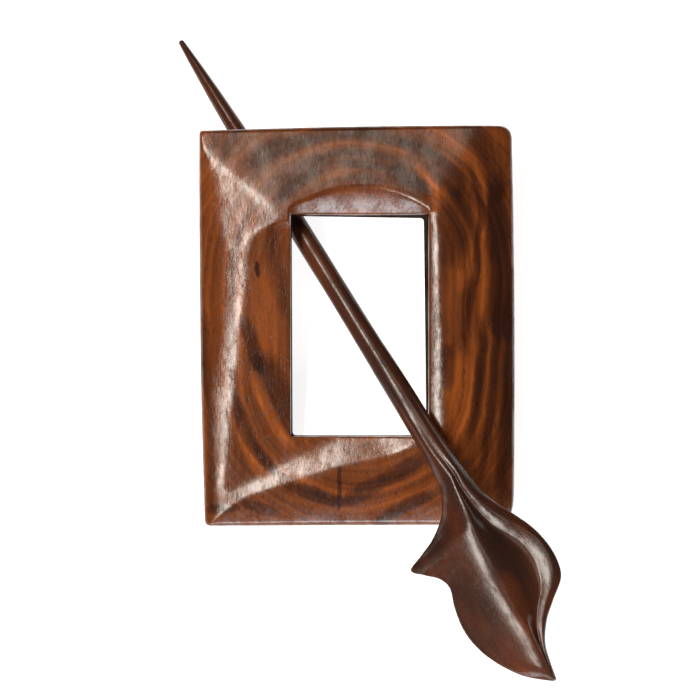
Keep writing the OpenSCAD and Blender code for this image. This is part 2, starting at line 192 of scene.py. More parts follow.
class Recipe:
    """The nodes of one material, or of the room's glow."""

    def __init__(self, owner: Union[bpy.types.Material, bpy.types.World]) -> None:
        """Starts without nodes.

        Args:
            owner: The material or world that the nodes belong to.
        """
        self.owner = owner
        owner.use_nodes = True
        self.tree = owner.node_tree
        self.tree.nodes.clear()

    def node(self, kind: str, settings: Keyed, inputs: Inputs) -> bpy.types.Node:
        """Adds any node.

        Args:
            kind: The node's type.
            settings: What is set on the node before its sockets, such as an operation.
            inputs: The value or link of each socket, by its name or number.

        Returns:
            The new node.
        """
        made = self.tree.nodes.new(kind)
        for key, value in settings.items():
            setattr(made, key, value)
        for key, value in inputs.items():
            if isinstance(value, Signal):
                self.tree.links.new(value.socket, made.inputs[key])
            else:
                made.inputs[key].default_value = value
        return made

    def out(self, kind: str, settings: Keyed, inputs: Inputs, output: Union[str, int] = 0) -> Signal:
        """Adds any node and returns one of its outputs, by its name or number."""
        return Signal(self, self.node(kind, settings, inputs).outputs[output])

    def math(self, operation: str, a: Value, b: Value = 0.0) -> Signal:
        """Adds a Math node on one or two values and returns its result."""
        return self.out("ShaderNodeMath", {"operation": operation}, {0: a, 1: b})

    def vector(self, operation: str, a: Value, b: Value = (0.0, 0.0, 0.0)) -> Signal:
        """Adds a Vector Math node on one or two vectors and returns its vector."""
        return self.out("ShaderNodeVectorMath", {"operation": operation}, {0: a, 1: b})

    def split(self, a: Value) -> list[Signal]:
        """Returns the three numbers of a vector."""
        return [Signal(self, number) for number in self.node("ShaderNodeSeparateXYZ", {}, {0: a}).outputs]

    def place(self, lying: Matrix) -> Signal:
        """Gives the place on a piece, for every point of its surface.

        Args:
            lying: Turns the piece's own directions into the model's.

        Returns:
            The place in the piece's own directions, in millimetres.
        """
        inputs = {
            "Vector": self.out("ShaderNodeTexCoord", {}, {}, "Object"),
            "Location": lying.to_translation(),
            "Rotation": lying.to_euler("XYZ"),
            "Scale": (MM,) * 3,
        }
        return self.out("ShaderNodeMapping", {"vector_type": "TEXTURE"}, inputs)

    def lines(self, at: Value, scale: float) -> Signal:
        """Returns noise along one number alone, with that many waves to a unit, for nested lines."""
        inputs = {"W": at, "Scale": scale, "Detail": 2.0, "Roughness": 0.6}
        return self.out("ShaderNodeTexNoise", {"noise_dimensions": "1D"}, inputs)

    def sway(self, at: Value, scale: float, reach: float) -> Signal:
        """Moves a place aside by slow noise.

        Args:
            at: The place, in millimetres.
            scale: The noise's waves to a millimetre.
            reach: About how far it moves at most, in millimetres.

        Returns:
            The moved place.
        """
        cloud = self.out("ShaderNodeTexNoise", {}, {"Vector": at, "Scale": scale, "Detail": 1.0}, "Color")
        aside = self.vector("SUBTRACT", cloud, (0.5,) * 3)
        return self.vector("ADD", at, self.vector("MULTIPLY", aside, (2 * reach,) * 3))

    def ease(self, value: Value, start: float, end: float, low: float = 0.0, high: float = 1.0) -> Signal:
        """Returns a smooth step from low to high, while the value goes from start to end."""
        inputs = {"Value": value, "From Min": start, "From Max": end, "To Min": low, "To Max": high}
        return self.out("ShaderNodeMapRange", {"interpolation_type": "SMOOTHSTEP"}, inputs, "Result")

    def ramp(self, value: Value, stops: Sequence[tuple[float, Colour]]) -> Signal:
        """Turns a value into a colour.

        Args:
            value: The value, from 0 to 1.
            stops: The places and colours of the ramp, of which there are two or more.

        Returns:
            The ramp's colour for the value.
        """
        made = self.node("ShaderNodeValToRGB", {}, {"Fac": value})
        elements = made.color_ramp.elements
        while len(elements) < len(stops):
            elements.new(1.0)
        for element, (place, colour) in zip(elements, stops):
            element.position = place
            element.color = (*colour, 1.0)
        return Signal(self, made.outputs["Color"])

    def blend(self, share: Value, a: Value, b: Value) -> Signal:
        """Returns the colour that share of the way from colour a to colour b."""
        return self.out("ShaderNodeMix", {"data_type": "RGBA"}, {0: share, 6: a, 7: b}, 2)

    def streak(self, at: Value, streak: "Streak") -> Signal:
        """Shows one streak of the wood.

        Args:
            at: The place, in millimetres.
            streak: The streak.

        Returns:
            How strongly it shows there, from 0 to its depth.
        """
        start, middle, end = (Vector(p) for p in (streak.start, streak.middle, streak.end))
        centre, half = (start + end) / 2, (end - start) / 2
        turn = math.atan2(-half.x, half.y)
        across_reach, along_reach = FADE_ACROSS * streak.width, FADE_ALONG * half.length
        bend = (middle - centre).dot(Vector((math.cos(turn), math.sin(turn)))) / across_reach
        inputs = {
            "Vector": at,
            "Location": (*centre, 0.0),
            "Rotation": (0.0, 0.0, turn),
            "Scale": (across_reach, along_reach, THROUGH_WOOD),
        }
        across, along, _ = self.split(self.out("ShaderNodeMapping", {"vector_type": "TEXTURE"}, inputs))
        along = along * along
        aside = across - bend * (1 - along)
        return self.ease(1 - along * along - aside * aside, 0.0, 1.0, 0.0, streak.depth)

    def finish(self, surface: Signal, output: str = "ShaderNodeOutputMaterial") -> Any:
        """Joins the surface to the output and returns the material or world."""
        self.node(output, {}, {"Surface": surface})
        return self.owner


# Finishes

# Noise mostly lies in this span, and pores show where theirs is in the next
NOISE_SPAN = (0.38, 0.62)
PORE_SPAN = (0.56, 0.70)
# How far a streak reaches until it has faded, in widths and in half lengths, and how deep in millimetres
FADE_ACROSS = 1.5
FADE_ALONG = 1.3
THROUGH_WOOD = 1000.0
PORE_COLOUR: Colour = (0.008, 0.003, 0.002)
# Near-black painted shade for the window's walls, which also stands for their unpolished wood
WALL_SHADE_COLOUR: Colour = (0.012, 0.005, 0.003)


@dataclass(frozen=True)
class Streak:
    """A band in the wood, bent through three places across and up on the frame, or along and across the stick.

    The places and half its width are in millimetres. Its depth darkens the tone, or lightens it below 0.
    """

    start: Pair
    middle: Pair
    end: Pair
    width: float
    depth: float


@dataclass(frozen=True)
class Waves:
    """Noise that follows the grain: waves to a millimetre, finer layers over them and how strong those are."""

    across: float
    along: float
    detail: float = 2.0
    rough: float = 0.5


class Figure(Enum):
    """How the wood's grain shows on a piece."""

    UPRIGHT = "bands that bend round the window, with upright pores"
    ALONG = "soft stripes along the stick"


@dataclass(frozen=True)
class Rosewood:
    """Waxed rosewood, with its grain, pores, tool marks and gloss.

    clouds, stripes and year_lines are how far each changes the tone. The year lines run straight for a way up
    and down beside the window. gloss is the lowest and highest roughness, wax the thinnest and thickest coat,
    and relief how deep the tool marks are. Each of sways is waves to a millimetre and how far they bend the
    grain. wall_shade_span is where painted shade, which also stands for unpolished wood, darkens the window's
    wall outside its front edge. Lengths are in millimetres.
    """

    name: str
    figure: Figure
    tones: tuple[tuple[float, Colour], ...]
    lightness: float
    streaks: tuple[Streak, ...]
    clouds: float = 0.5
    stripes: float = 0.5
    year_lines: float = 0.6
    year_line_waves: float = 0.6
    straight: float = 10.0
    gloss: Pair = (0.12, 0.28)
    specular: float = 0.2
    wax: Pair = (0.0, 0.75)
    wax_rough: float = 0.19
    relief: float = 0.030
    pore_dark: float = 0.6
    pore_depth: float = 0.3
    fine_share: float = 0.7
    pore_waves: Waves = Waves(3.2, 0.5, 3.0, 0.6)
    fine_waves: Waves = Waves(2.3, 0.8, 2.0, 0.6)
    broad_waves: Waves = Waves(0.69, 0.24, 2.0, 0.6)
    wax_waves: tuple[Waves, Waves] = (Waves(1.7, 0.55, 3.0, 0.75), Waves(0.35, 0.18, 1.0))
    cloud_waves: Waves = Waves(0.13, 0.06)
    stripe_waves: Waves = Waves(1.0, 0.08, 3.0, 0.6)
    sways: tuple[Pair, ...] = ((0.08, 1.2), (0.5, 0.15))
    wall_shade_span: Pair = (0.02, -0.12)
    wall_shade_share: float = 0.95

    def _pattern(self, at: Signal, waves: Waves) -> Signal:
        """Lays noise along the piece's grain.

        Args:
            at: The place, in millimetres.
            waves: The noise's waves.

        Returns:
            The noise, from 0 to 1 and mostly near a half.
        """
        across, along = waves.across, waves.along
        scale = (across, along, across) if self.figure is Figure.UPRIGHT else (along, across, across)
        stretched = at.recipe.vector("MULTIPLY", at, scale)
        inputs = {"Vector": stretched, "Scale": 1.0, "Detail": waves.detail, "Roughness": waves.rough}
        return at.recipe.out("ShaderNodeTexNoise", {}, inputs)

    def material(self, lying: Matrix, window: Sequence[float] = ()) -> bpy.types.Material:
        """Builds the material of a piece.

        Args:
            lying: Turns the piece's own directions into the model's.
            window: The middle and half the size of a window whose walls get painted shade, in millimetres, or
                nothing.

        Returns:
            The material.
        """
        recipe = Recipe(bpy.data.materials.new(self.name))
        at = recipe.place(lying)
        fine = self._pattern(at, self.fine_waves)
        broad = self._pattern(at, self.broad_waves)
        pore = recipe.ease(self._pattern(at, self.pore_waves), *PORE_SPAN)
        waxed = mix(*(self._pattern(at, waves) for waves in self.wax_waves), 0.5)
        # Painted shade on the window's walls, which also stands for their unpolished wood
        painted_wall_shade = self._paint_wall_shade(at, window) if window else 0.0
        # Pores darken by their own colour, the window's walls by painted shade
        dark = recipe.math("MAXIMUM", self.pore_dark * pore, painted_wall_shade)
        wood = recipe.ramp(self._tone(at), self.tones)
        height = fine - self.pore_depth * pore + broad
        bump = {"Strength": 1.0, "Distance": self.relief * MM, "Height": height}
        inputs = {
            "Base Color": recipe.blend(dark, wood, (*PORE_COLOUR, 1.0)),
            "Roughness": recipe.ease(mix(broad, fine, self.fine_share), *NOISE_SPAN, *self.gloss) + painted_wall_shade,
            "Specular IOR Level": self.specular,
            "Coat Weight": recipe.ease(waxed, *NOISE_SPAN, *self.wax),
            "Coat Roughness": self.wax_rough,
            "Normal": recipe.out("ShaderNodeBump", {}, bump),
        }
        surface = recipe.out("ShaderNodeBsdfPrincipled", {}, inputs)
        # The walls' painted shade is a near-black dull diffuse mixed over the wood
        if window:
            wall_shade_shader = recipe.out("ShaderNodeBsdfDiffuse", {}, {"Color": (*WALL_SHADE_COLOUR, 1.0)})
            surface = recipe.out("ShaderNodeMixShader", {}, {0: painted_wall_shade, 1: surface, 2: wall_shade_shader})
        return recipe.finish(surface)

    def _paint_wall_shade(self, at: Signal, window: Sequence[float]) -> Signal:
        """Paints shade on the window's walls, which are darkened as if in shadow and also for their unpolished
        wood.

        Args:
            at: The place, in millimetres.
            window: The middle and half the size of the window, in millimetres.

        Returns:
            How much painted shade a place gets, from 0 on the front.
        """
        recipe = at.recipe
        x, y, half_w, half_h = window
        aside = recipe.vector("ABSOLUTE", recipe.vector("SUBTRACT", at, (x, y, 0.0)))
        across, up, _ = recipe.split(recipe.vector("SUBTRACT", aside, (half_w, half_h, 0.0)))
        return recipe.ease(recipe.math("MAXIMUM", across, up), *self.wall_shade_span, 0.0, self.wall_shade_share)

    def _tone(self, at: Signal) -> Signal:
        """Gives the tone of the wood.

        Args:
            at: The place, in millimetres.

        Returns:
            The tone, from 0 for the darkest lines to 1 for the lightest wood.
        """
        recipe = at.recipe
        for waves, reach in self.sways:
            at = recipe.sway(at, waves, reach)
        clouds = self._pattern(at, self.cloud_waves) - 0.5
        stripes = self._pattern(at, self.stripe_waves) - 0.5
        tone = self.lightness + self.clouds * clouds + self.stripes * stripes
        if self.figure is Figure.UPRIGHT:
            beside = recipe.vector("ABSOLUTE", recipe.vector("MULTIPLY", at, (1.0, 1.0, 0.0)))
            beside = recipe.vector("MAXIMUM", recipe.vector("SUBTRACT", beside, (0.0, self.straight, 0.0)))
            ovals = recipe.out("ShaderNodeVectorMath", {"operation": "LENGTH"}, {0: beside}, "Value")
            tone = tone + self.year_lines * (recipe.lines(ovals, self.year_line_waves) - 0.5)
        for streak in self.streaks:
            tone = tone - recipe.streak(at, streak)
        return tone


FRAME_STREAKS = tuple(Streak(*row) for row in (
    ((-21.0, 30.7), (-14.5, 34.9), (-8.5, 36.1), 1.7, 0.35),
    ((-8.5, 36.3), (0.6, 37.9), (9.4, 35.3), 1.6, 0.35),
    ((9.0, 35.5), (15.0, 32.2), (19.3, 25.1), 1.7, 0.39),
    ((19.3, 26.0), (19.8, 20.5), (18.2, 12.3), 2.3, 0.34),
    ((-15.4, 25.1), (-11.5, 28.4), (-6.0, 31.6), 1.6, 0.39),
    ((-6.0, 31.8), (2.0, 32.3), (8.0, 30.2), 1.6, 0.39),
    ((7.0, 30.6), (10.5, 28.6), (13.4, 25.4), 1.6, 0.35),
    ((-4.2, 27.2), (3.0, 28.7), (12.5, 26.3), 1.1, 0.31),
    ((16.0, 20.0), (15.6, 2.0), (16.0, -17.0), 1.3, 0.28),
    ((-10.5, 23.3), (1.5, 24.6), (12.5, 23.2), 2.4, 0.12),
    ((-26.1, 32.5), (-24.4, 36.0), (-21.8, 38.7), 1.1, 0.31),
    ((-28.9, 32.9), (-28.2, 35.5), (-27.0, 38.0), 0.7, 0.20),
    ((21.0, 38.5), (25.2, 34.5), (26.4, 25.0), 1.9, 0.36),
    ((26.3, 27.0), (27.5, 14.0), (28.2, -1.0), 2.2, 0.55),
    ((29.4, 2.0), (30.0, -12.2), (28.2, -31.0), 1.5, 0.46),
    ((20.8, 31.0), (23.3, 26.5), (23.8, 19.0), 0.7, 0.32),
    ((23.6, 20.0), (23.1, 11.0), (22.2, 1.0), 0.7, 0.37),
    ((21.8, 9.0), (21.9, 5.0), (21.3, -3.0), 1.1, 0.23),
    ((25.2, 1.2), (24.1, -9.5), (22.2, -21.6), 0.9, 0.37),
    ((27.0, 1.2), (26.6, -12.0), (24.2, -27.0), 0.8, 0.37),
    ((17.5, -4.0), (17.9, -8.4), (17.8, -12.0), 1.3, 0.32),
    ((12.5, -25.0), (5.0, -30.6), (-2.3, -33.6), 1.4, 0.39),
    ((14.8, -33.0), (9.0, -36.0), (4.0, -38.7), 1.2, 0.35),
    ((-3.5, -26.6), (-3.4, -31.0), (-3.4, -35.2), 0.4, 0.40),
    ((-14.4, -31.0), (-9.8, -32.4), (-3.5, -34.5), 1.2, 0.35),
    ((-22.6, -34.3), (-19.0, -35.6), (-15.6, -36.6), 1.1, 0.31),
    ((-28.6, -36.1), (-26.0, -36.1), (-23.2, -36.0), 0.8, 0.31),
    ((-22.0, 1.0), (-20.3, -4.0), (-18.8, -8.5), 1.2, 0.39),
    ((-19.0, -6.0), (-16.0, -13.0), (-12.6, -20.0), 2.6, 0.35),
    ((-23.6, -13.5), (-20.7, -22.3), (-16.0, -27.2), 1.2, 0.31),
    ((-29.1, 0.0), (-28.8, -15.0), (-28.0, -34.0), 0.8, 0.31),
    ((-16.3, 19.2), (-15.6, 11.0), (-14.2, 3.0), 1.3, 0.23),
    ((-19.4, 12.2), (-19.1, 11.0), (-18.8, 9.7), 0.4, 0.60),
    ((13.7, 38.7), (20.5, 33.5), (24.2, 25.0), 1.1, -0.20),
    ((24.7, 25.0), (24.6, 12.0), (24.8, 0.0), 0.7, -0.24),
    ((10.5, 31.0), (14.3, 27.4), (14.9, 21.5), 0.9, -0.33),
    ((19.6, 15.0), (20.1, 11.5), (19.8, 7.0), 1.4, -0.15),
    ((19.5, -6.0), (20.4, -14.0), (19.5, -22.0), 2.3, -0.24),
    ((-17.6, 11.0), (-17.3, 3.0), (-17.5, -5.0), 1.8, -0.18),
    ((-20.0, -9.0), (-17.2, -16.5), (-13.2, -22.5), 1.1, -0.39),
    ((-22.0, -19.0), (-20.6, -25.5), (-18.3, -29.5), 1.1, -0.28),
    ((6.5, -33.8), (11.0, -31.0), (15.0, -29.3), 1.6, -0.04),
))

FRAME_ROSEWOOD = Rosewood(
    name="frame_rosewood",
    figure=Figure.UPRIGHT,
    tones=(
        (0.0, (0.020, 0.006, 0.003)),
        (0.3, (0.045, 0.012, 0.004)),
        (0.6, (0.092, 0.024, 0.006)),
        (0.85, (0.160, 0.040, 0.008)),
        (1.0, (0.240, 0.062, 0.012)),
    ),
    lightness=0.60,
    stripes=0.35,
    streaks=FRAME_STREAKS,
)

STICK_ROSEWOOD = Rosewood(
    name="stick_rosewood",
    figure=Figure.ALONG,
    tones=(
        (0.0, (0.016, 0.009, 0.007)),
        (0.35, (0.030, 0.012, 0.008)),
        (0.7, (0.058, 0.017, 0.008)),
        (1.0, (0.100, 0.027, 0.011)),
    ),
    lightness=0.52,
    clouds=1.3,
    streaks=(
        Streak((116.0, 4.5), (122.0, 1.5), (129.0, 1.5), 2.4, 0.22),
        Streak((112.0, -6.0), (114.5, -9.5), (116.5, -15.5), 2.2, 0.28),
        Streak((127.0, -2.0), (133.0, -3.0), (139.0, -4.0), 1.6, -0.25),
    ),
    gloss=(0.13, 0.22),
    specular=0.13,
    wax=(0.0, 0.42),
    wax_rough=0.14,
    relief=0.019,
    pore_waves=Waves(3.6, 1.6, 3.0, 0.6),
    fine_waves=Waves(3.4, 2.4, 2.0, 0.6),
    broad_waves=Waves(1.02, 0.72, 2.0, 0.6),
)


# Pieces

# Rows of points on the frame's walls and on its back, as shares of the way across
WALL_PLACES = (0.06, 0.5, 0.94)
BACK_PLACES = (0.02, 0.25, 0.5, 0.75, 0.98)


@dataclass(frozen=True)
class Place:
    """Where the pin lies: what turns the frame's own directions into the model's, and the stick's direction."""

    lying: Matrix
    along: Vector

    @classmethod
    def from_record(cls, record: Keyed, joints: Sequence[Keyed], middle: Vector) -> "Place":
        """Reads the place from the mount on the frame's back and from the stick's slide.

        Args:
            record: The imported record.
            joints: The model's joints.
            middle: The middle of the window on the back, in the frame's own directions.

        Returns:
            The place.
        """
        mount = record["mounts"][0]
        outward = Vector(mount["axis"])
        turn = Matrix.Rotation(math.atan2(outward.y, -outward.z), 4, "X")
        shift = Vector(mount["pos_m"]) - turn @ middle
        return cls(Matrix.Translation(shift) @ turn, Vector(joints[0]["axis"]))

    def stick(self, corner: Vector, reach: float, ball: Vector, ball_r: float) -> Matrix:
        """Works out how the stick lies, with the ball of its point on the table.

        Args:
            corner: The corner of the window that the stick's middle passes under or over, at the frame's back.
            reach: How far along the stick that is.
            ball: The middle of the point's ball, in the stick's own directions.
            ball_r: The ball's radius.

        Returns:
            The matrix that turns the stick's own directions into the model's.
        """
        flat = self.lying.to_3x3().inverted() @ self.along
        sideways = self.lying.to_3x3() @ Vector((-flat.y, flat.x, 0.0)).normalized()
        upward = self.along.cross(sideways)
        directions = Matrix((self.along, sideways, upward)).transposed()
        passing = self.lying @ corner
        out_of_frame = self.lying.to_3x3() @ Vector((0.0, 0.0, 1.0))
        start = passing - reach * self.along
        sunk = (start + directions @ ball).z - ball_r
        start -= out_of_frame * (sunk / out_of_frame.z)
        return Matrix.Translation(start) @ directions.to_4x4()


@dataclass(frozen=True)
class OuterCorner:
    """An outer corner of the frame, and the side that follows it clockwise.

    Its place is in halves of the width and height. Its round reaches along the sides before and after it, in
    shares of the left bar, and the side after it bows out, in shares of the width.
    """

    across: float
    up: float
    before: float
    after: float
    bow: float


@dataclass(frozen=True)
class WindowCorner:
    """A corner of the window: the lip's height in crests, and how far the back edge lies inside it in bars."""

    lip: float
    draft_across: float
    draft_up: float


@dataclass
class RingFrame:
    """The rectangular ring with its carved faces. Its back is its own z = 0, and its middle is the origin.

    Sizes are in metres. Faces are shaped by slopes, and by shares: of the bar or of the whole frame or window
    for places across and up, and of the crest for heights. bevel_cup is the cup's middle, reach, depth and
    most. ramp is its height at its start, its rise and bend to the right and its rise upward, in ridges. Starts
    and spans are where a rise begins and how far it takes, and past is where the inner faces give way to the
    right bar.
    """

    width: float = 61.6 * MM
    height: float = 78.2 * MM
    left_bar: float = 17.95 * MM
    right_bar: float = 16.85 * MM
    top_bar: float = 17.4 * MM
    bottom_bar: float = 17.6 * MM
    crest_h: float = 8.7 * MM
    window_r: float = 0.8 * MM
    front_round: float = 0.9 * MM
    back_round: float = 0.5 * MM
    lip_round: float = 0.35 * MM
    left_edge_h: float = 4.55 * MM
    bevel_h: float = 3.1 * MM
    top_edge_h: float = 3.2 * MM
    right_edge_h: float = 3.9 * MM
    bottom_edge_h: float = 3.5 * MM
    ridge_h: float = 7.1 * MM
    hollow_h: float = 6.4 * MM
    crease: float = 0.15 * MM
    ramp_crease: float = 0.3 * MM
    shoulder: float = 0.8 * MM
    hand_wave: float = 0.04 * MM
    lip_slopes: Four = (0.66, 0.38, 0.3, 3.0)
    lip_eases: Four = (1.5, 0.42, 0.575, 0.575)
    top_climb: float = 0.38
    bevel_slope: float = 0.55
    bevel_cup: Four = (0.1, 0.28, 0.1, 1.1)
    bevel_fall: float = 1.4
    right_lip: float = 0.11
    right_curve: float = 0.75
    bottom_run: float = 0.63
    bottom_curve: float = 0.35
    bottom_sink: float = 0.14
    fall_depth: float = 0.1
    fall_span: Pair = (0.25, 0.55)
    ramp_start: Pair = (0.23, 0.24)
    ramp: Four = (0.7, 0.755, -0.14, -0.74)
    hollow_tilt: Pair = (-0.03, 0.028)
    hollow_rise: tuple[float, float, float] = (0.72, 0.28, 0.26)
    past_start: float = 0.3
    past_lifts: Pair = (0.8, 0.45)
    scoop: float = 0.34
    scoop_shape: float = 0.7
    outer: tuple[OuterCorner, ...] = (
        OuterCorner(-1.000, 0.978, 0.040, 0.040, 0.004),
        OuterCorner(0.984, 1.000, 0.155, 0.155, 0.005),
        OuterCorner(1.000, -0.995, 0.420, 0.160, 0.000),
        OuterCorner(-0.966, -1.000, 0.070, 0.070, 0.006),
    )
    window: tuple[WindowCorner, ...] = (
        WindowCorner(0.85, 0.006, 0.006),
        WindowCorner(0.93, 0.046, 0.028),
        WindowCorner(0.88, 0.016, 0.006),
        WindowCorner(0.62, 0.016, 0.006),
    )
    corner_steps: int = 10
    side_steps: tuple[int, int, int, int] = (110, 150, 110, 150)
    edge_steps: int = 5
    front_steps: int = 72
    piece: bpy.types.Object = field(init=False)
    lying: Matrix = field(init=False)

    def __post_init__(self) -> None:
        """Works out the edges of the window."""
        self.half_w, self.half_h = self.width / 2, self.height / 2
        self.win_l = self.left_bar - self.half_w
        self.win_r = self.half_w - self.right_bar
        self.win_t = self.half_h - self.top_bar
        self.win_b = self.bottom_bar - self.half_h

    def window_middle(self) -> Vector:
        """Returns the middle of the window on the frame's back."""
        return Vector(((self.win_l + self.win_r) / 2, (self.win_t + self.win_b) / 2, 0.0))

    def window_box(self) -> Four:
        """Returns the middle of the window and half its size, in millimetres."""
        x, y, _ = self.window_middle() / MM
        return x, y, (self.win_r - self.win_l) / (2 * MM), (self.win_t - self.win_b) / (2 * MM)

    def _outer_faces(self, x: Array, y: Array) -> list[Array]:
        """Gives the heights of the faces that fall to the outer edges.

        Args:
            x: Places across.
            y: Places up.

        Returns:
            The heights of the shoulder, left, bevel and bottom faces.
        """
        from_left, from_bottom = x + self.half_w, y + self.half_h
        fall = self._fall(y)
        climb = self.top_climb * self.crest_h / self.width
        slope = (self.crest_h - self.top_edge_h - climb * self.left_bar) / self.top_bar
        top = self.top_edge_h + climb * from_left + slope * (self.half_h - y)
        left = mix(self.left_edge_h, self.crest_h, from_left / self.left_bar) - fall
        middle, reach, depth, most = self.bevel_cup
        cup = depth * self.crest_h * np.minimum(most, ((y / self.height - middle) / reach) ** 2)
        bevel = self.bevel_h + self.bevel_slope * from_left + cup - self.bevel_fall * fall
        lip = self.right_lip * self.right_bar
        out = np.maximum(0, (x - self.win_r - lip) / (self.right_bar - lip))
        right = mix(self.crest_h, self.right_edge_h, mix(out, out**2, self.right_curve))
        up = from_bottom / (self.bottom_run * self.bottom_bar)
        rise = up * (1 + self.bottom_curve * (1 - np.minimum(up, 1)))
        sunk = self.bottom_sink * self.crest_h * from_left / self.width
        bottom = mix(self.bottom_edge_h, self.ridge_h, rise) - sunk
        return [soft_min([top, right], self.shoulder), left, bevel, bottom]

    def _fall(self, y: Array) -> Array:
        """Returns how far the left bar's faces fall towards the lower corner."""
        start, span = self.fall_span
        return self.fall_depth * self.crest_h * np.maximum(0, -y / self.half_h - start) / span

    def _inner_face(self, x: Array, y: Array) -> Array:
        """Gives the height of the hollow inside the left crest and of the ramp at its lower end.

        Args:
            x: Places across.
            y: Places up.

        Returns:
            The height of the two, joined.
        """
        from_left, from_bottom = x + self.half_w, y + self.half_h
        along = (from_left - self.ramp_start[0] * self.left_bar) / (self.win_r - self.win_l)
        up = from_bottom / self.bottom_bar - self.ramp_start[1]
        level, rise_along, bend_along, rise_up = self.ramp
        ramp = self.ridge_h * (level + rise_along * along + bend_along * along**2 + rise_up * up)
        start, span, height = self.hollow_rise
        rise = height * self.crest_h * np.maximum(0, (y / self.win_t - start) / span) ** 2
        tilt = self.hollow_tilt[0] * (from_left - self.left_bar / 2) + self.hollow_tilt[1] * y
        past = self.crest_h * np.maximum(0, x / self.win_r - self.past_start) ** 2
        hollow = self.hollow_h + tilt + rise - self._fall(y) + self.past_lifts[0] * past
        return soft_max([ramp, hollow], self.ramp_crease) + self.past_lifts[1] * past

    def _lip_face(self, x: Array, y: Array) -> Array:
        """Gives the height of the slope that rises from the window's edge.

        Args:
            x: Places across.
            y: Places up.

        Returns:
            The slope's height.
        """
        across = np.clip((x - self.win_l) / (self.win_r - self.win_l), 0, 1)
        up = np.clip((y - self.win_b) / (self.win_t - self.win_b), 0, 1)
        lips = [corner.lip for corner in self.window]
        edge = mix(mix(lips[3], lips[2], across), mix(lips[0], lips[1], across), up)
        edge = edge - self.scoop * up * np.abs(np.sin(math.pi * across)) ** self.scoop_shape
        outside = [np.maximum(0, d) for d in (y - self.win_t, x - self.win_r, self.win_b - y, self.win_l - x)]
        climbs = [
            slope * d / (1 + d / (ease * self.top_bar))
            for slope, ease, d in zip(self.lip_slopes, self.lip_eases, outside)
        ]
        return self.crest_h * edge + np.sqrt(sum(climb**2 for climb in climbs))

    def relief(self, p: Array) -> Array:
        """Gives the height of the carved front over the back.

        Args:
            p: Places on the frame, as rows of across and up.

        Returns:
            The height at each place.
        """
        x, y = p[..., 0], p[..., 1]
        faces = [*self._outer_faces(x, y), self._inner_face(x, y), self._lip_face(x, y)]
        waved = [face + self.hand_wave * wander(x, y, k) for k, face in enumerate(faces)]
        return soft_min(waved, self.crease)

    def _rounds(self, corners: Sequence[Array], reaches: Sequence[Pair]) -> list[Array]:
        """Rounds off four corners.

        Args:
            corners: The corners, clockwise.
            reaches: How far each round reaches along the side before it and the side after it.

        Returns:
            The points of each round, clockwise.
        """
        t = np.linspace(0, 1, self.corner_steps + 1)[:, None]
        rounds = []
        for i, (corner, (before, after)) in enumerate(zip(corners, reaches)):
            a = corner + before * unit(corners[i - 1] - corner)
            b = corner + after * unit(corners[(i + 1) % 4] - corner)
            rounds.append((1 - t) ** 2 * a + 2 * t * (1 - t) * corner + t**2 * b)
        return rounds

    def stations(self) -> tuple[Array, Array, Array]:
        """Goes round the frame clockwise, from its upper left corner.

        Returns:
            The outer points, the window's front points and the window's back points.
        """
        sides = ((-1, 1), (1, 1), (1, -1), (-1, -1))
        window = {-1: (self.win_l, self.win_b), 1: (self.win_r, self.win_t)}
        corners = [np.array((c.across * self.half_w, c.up * self.half_h)) for c in self.outer]
        outer = self._rounds(corners, [(c.before * self.left_bar, c.after * self.left_bar) for c in self.outer])
        corners = [np.array((window[a][0], window[b][1])) for a, b in sides]
        front = self._rounds(corners, [(self.window_r, self.window_r)] * 4)
        draft = [
            np.array((-a * c.draft_across * self.right_bar, -b * c.draft_up * self.top_bar))
            for c, (a, b) in zip(self.window, sides)
        ]
        places: tuple[list[Array], list[Array], list[Array]] = ([], [], [])
        for i in range(4):
            after = (i + 1) % 4
            t = np.linspace(0, 1, self.side_steps[i] + 1)[1:-1, None]
            start, end = outer[i][-1], outer[after][0]
            along = unit(end - start)
            bow = np.array((-along[1], along[0])) * self.outer[i].bow * self.width * np.sin(math.pi * t)
            side = mix(front[i][-1], front[after][0], t)
            places[0].extend((outer[i], mix(start, end, t) + bow))
            places[1].extend((front[i], side))
            places[2].extend((front[i] + draft[i], side + mix(draft[i], draft[after], t)))
        return tuple(np.concatenate(rows) for rows in places)

    @staticmethod
    def _row(p: Array, height: Any) -> Array:
        """Returns places with their heights, which may be one number for all."""
        return np.column_stack((p, np.broadcast_to(height, len(p))))

    def rings(self) -> Array:
        """Gives the frame's sections, each from the window's back edge over the front and along the back.

        Returns:
            Sections, points of a section and coordinates.
        """
        outer, front, back = self.stations()
        out = unit(outer - front)
        quarter = [math.pi / 2 * t for t in (*shares(self.edge_steps), 1.0)]
        turns = [(1 - math.sin(a), 1 - math.cos(a)) for a in quarter]
        rows = [self._row(back + self.back_round * a * out, self.back_round * down) for a, down in turns]
        rows += between(rows[-1], self._row(front, self.relief(front) - self.lip_round), WALL_PLACES)
        for aside, down in reversed(turns):
            p = front + self.lip_round * aside * out
            rows.append(self._row(p, self.relief(p) - self.lip_round * down))
        for t in shares(self.front_steps)[1:]:
            p = mix(front + self.lip_round * out, outer - self.front_round * out, t)
            rows.append(self._row(p, self.relief(p)))
        for aside, down in turns:
            p = outer - self.front_round * aside * out
            rows.append(self._row(p, self.relief(p) - self.front_round * down))
        rows += between(rows[-1], self._row(outer, self.back_round), WALL_PLACES)
        for aside, down in reversed(turns):
            rows.append(self._row(outer - self.back_round * aside * out, self.back_round * down))
        rows += between(rows[-1], rows[0], BACK_PLACES)
        return np.stack(rows, axis=1)

